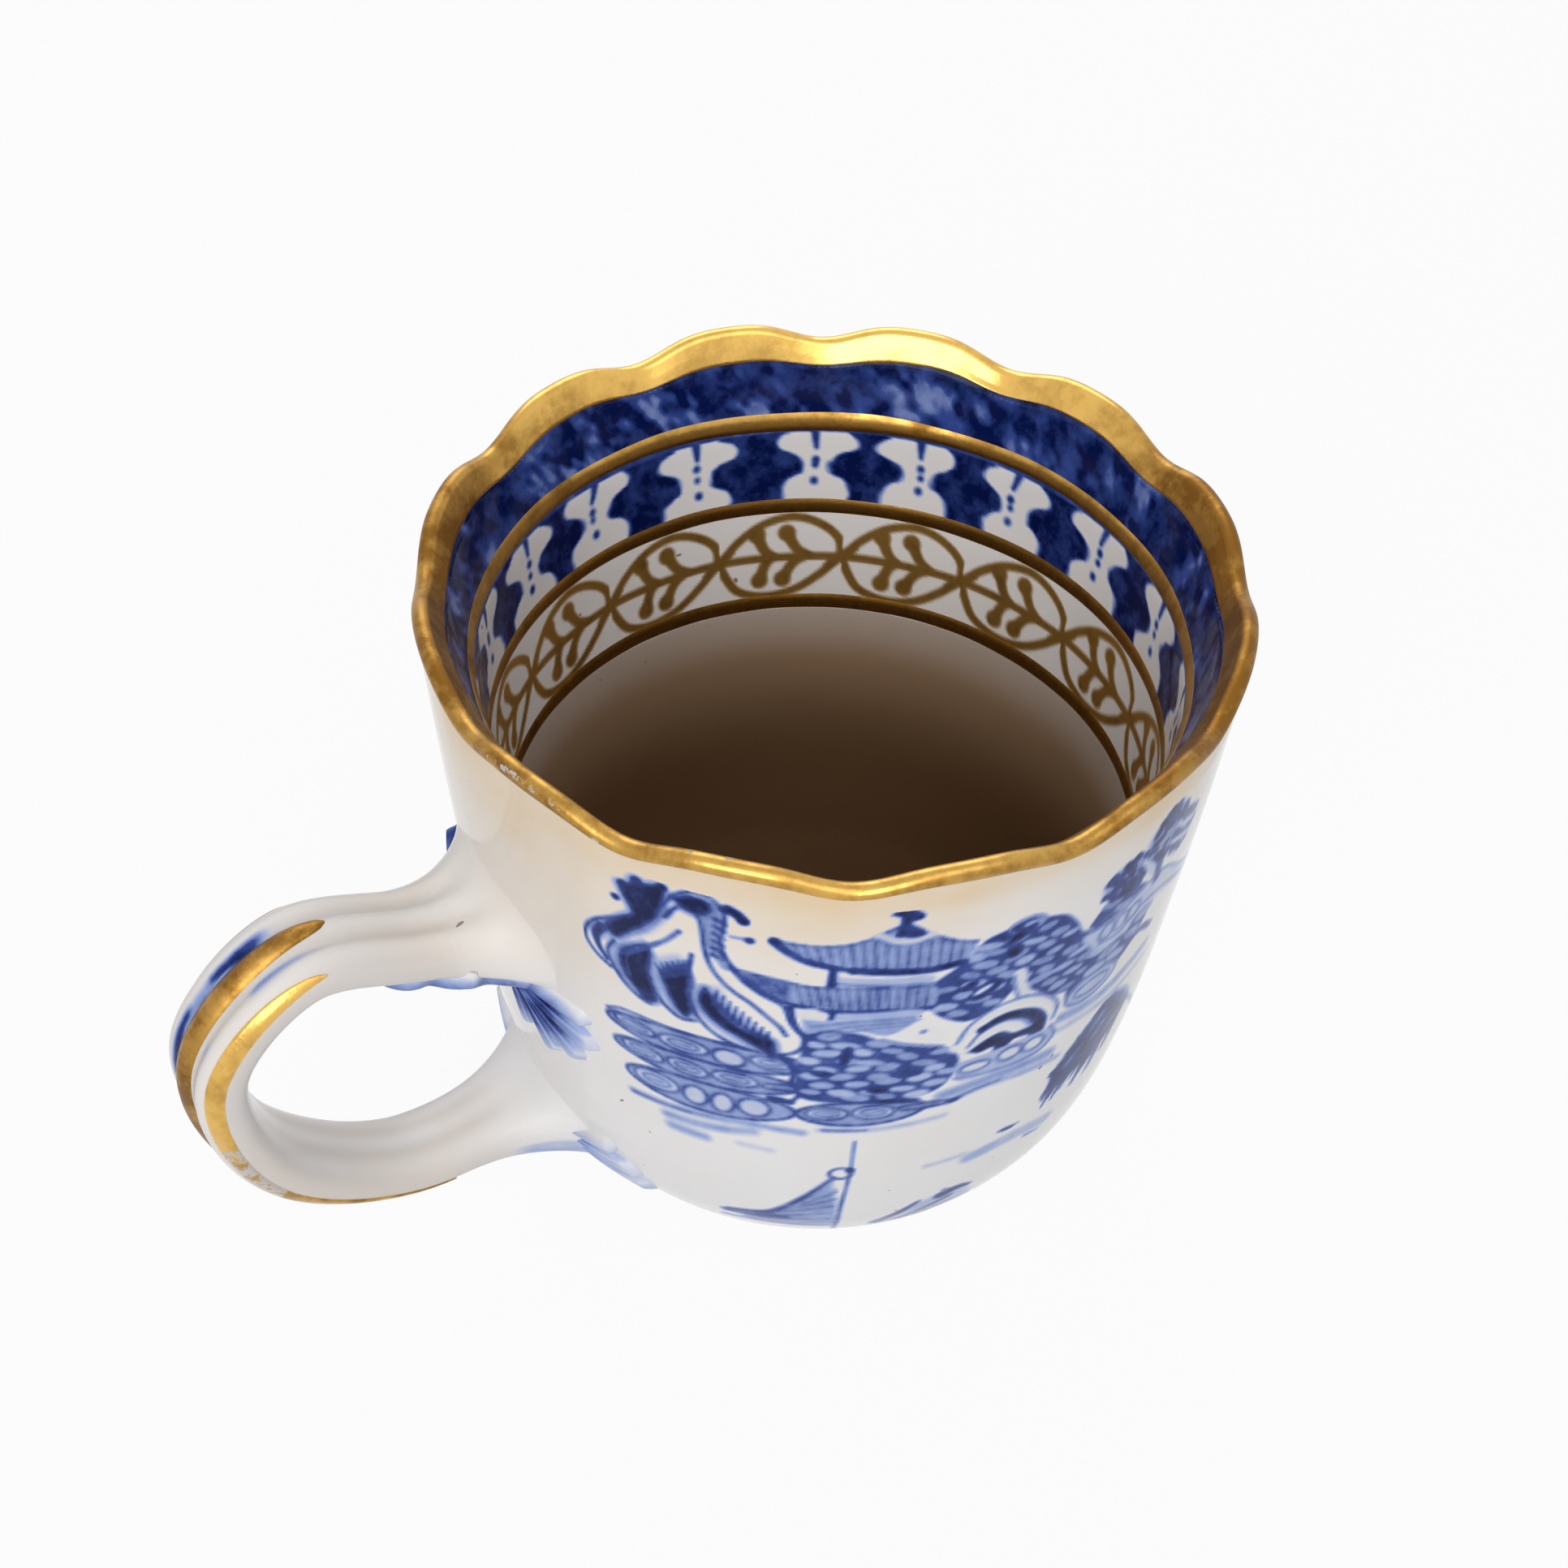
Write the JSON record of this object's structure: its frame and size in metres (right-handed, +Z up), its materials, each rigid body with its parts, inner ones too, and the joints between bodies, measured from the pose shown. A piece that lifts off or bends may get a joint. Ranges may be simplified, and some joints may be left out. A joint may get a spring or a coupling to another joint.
{
  "type": "porcelain cup",
  "caption": "Porcelain cup with a lobed gilded rim, a foot ring and a ribbed loop handle with leaf sprigs, for hot drinks.",
  "frame": {"origin": "on the table, under the middle of the box round the whole cup, handle included", "axes": "+Z up; the handle points along -X, in the plane y = 0; the cup's own axis is 14.9 mm towards +X from the origin"},
  "size_m": [0.106, 0.0762, 0.0706],
  "materials": {
    "porcelain": "glossy white glaze, warm cream near the rim",
    "blue_glaze": "glossy glaze over washed cobalt blue",
    "gilding": "worn burnished gold"
  },
  "bodies": {
    "root": {"bowl": "porcelain", "foot_ring": "porcelain", "handle_loop": "porcelain", "upper_leaf_near": "blue_glaze", "upper_leaf_far": "blue_glaze", "lower_leaf_near": "blue_glaze", "lower_leaf_far": "blue_glaze", "underarm_leaf": "blue_glaze", "rim_gilding": "gilding", "border_gilt_line": "gilding", "chain_upper_line": "gilding", "chain_lower_line": "gilding", "spine_gilding": "gilding", "edge_gilding_near": "gilding", "edge_gilding_far": "gilding"}
  },
  "joints": []
}
